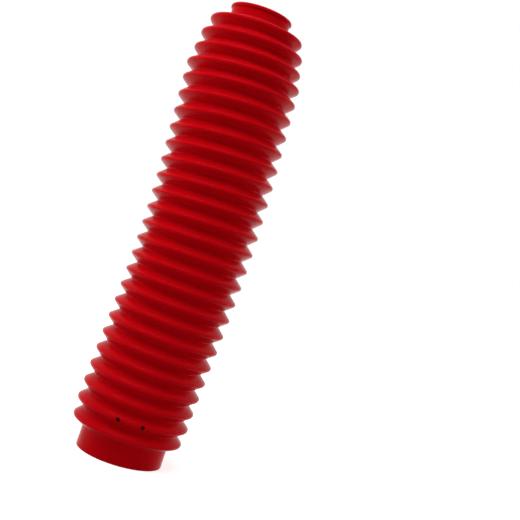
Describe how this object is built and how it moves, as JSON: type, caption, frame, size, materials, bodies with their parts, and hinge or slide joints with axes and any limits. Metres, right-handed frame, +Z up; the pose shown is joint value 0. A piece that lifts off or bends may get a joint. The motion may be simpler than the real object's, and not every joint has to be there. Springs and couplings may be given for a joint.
{
  "type": "fork gaiter",
  "caption": "Moulded rubber bellows for a motorcycle fork leg, with a wide lower collar, a narrow beaded upper collar and two small vent holes.",
  "frame": {"origin": "middle of the gaiter's footprint, on the surface that the lower rim stands on; the loose gaiter bows 6 mm to +X, so the centres of both rims lie 3 mm to -X of the origin's vertical", "axes": "+Z up along the gaiter, from the wide lower rim to the narrow lip; -Y is the side with the two vent holes; the gaiter bows gently to +X"},
  "size_m": [0.0894, 0.0848, 0.3399],
  "materials": {
    "red_rubber": "satin"
  },
  "bodies": {
    "root": {"gaiter": "red_rubber"}
  },
  "joints": []
}
